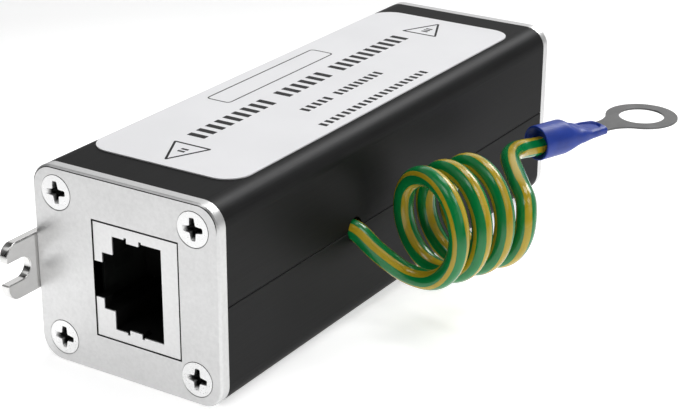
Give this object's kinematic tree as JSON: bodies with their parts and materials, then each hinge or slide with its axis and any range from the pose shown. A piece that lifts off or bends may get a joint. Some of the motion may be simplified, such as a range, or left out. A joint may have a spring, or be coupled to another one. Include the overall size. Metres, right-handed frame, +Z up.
{
  "type": "ethernet surge protector",
  "caption": "Inline surge protector for a network cable: black aluminium case with a socket at each end, mounting strip with slotted ears and a coiled earth wire with a ring terminal.",
  "frame": {"origin": "centre of the case's underside", "axes": "+Y along the case from the input plate to the output plate, +X to the side where the earth wire leaves, +Z up to the label"},
  "size_m": [0.0489, 0.0916, 0.0256],
  "materials": {
    "case": "black anodised, satin",
    "plate": "fine satin",
    "screw": "bright zinc plated",
    "strip": "polished nickel plated",
    "label": "satin film",
    "socket_plastic": "moulded, satin",
    "insert_plastic": "moulded, matte",
    "contact": "gold plated",
    "shield": "bright tin plated sheet",
    "board": "black solder mask",
    "ceramic": "glazed ceramic with plated electrodes",
    "chip": "moulded, matte",
    "tin": "tin plated",
    "wire": "green and yellow striped insulation",
    "sleeve": "soft glossy vinyl",
    "ring": "dull tin plated"
  },
  "bodies": {
    "root": {"upper_shell": "case", "lower_shell": "case", "front_plate": "plate", "rear_plate": "plate", "front_plate_screws": "screw", "rear_plate_screws": "screw", "label": "label", "mounting_strip": "strip", "strip_screws": "screw", "circuit_board": "board", "input_jack_housing": "socket_plastic", "input_jack_insert": "insert_plastic", "input_jack_contacts": "contact", "input_jack_shield": "shield", "output_jack_housing": "socket_plastic", "output_jack_insert": "insert_plastic", "output_jack_contacts": "contact", "output_jack_shield": "shield", "solder_cup": "tin", "inner_earth_wire": "wire", "earth_lead": "wire", "earth_coil": "wire", "earth_tail": "wire", "terminal_sleeve": "sleeve", "ring_terminal": "ring", "gas_tube_1": "ceramic", "gas_tube_2": "ceramic", "gas_tube_3": "ceramic", "gas_tube_4": "ceramic", "suppressor_1": "chip", "suppressor_2": "chip", "suppressor_3": "chip", "suppressor_4": "chip", "line_resistor_1": "chip", "line_resistor_2": "chip", "line_resistor_3": "chip", "line_resistor_4": "chip", "line_resistor_5": "chip", "line_resistor_6": "chip", "line_resistor_7": "chip", "line_resistor_8": "chip"}
  },
  "joints": []
}
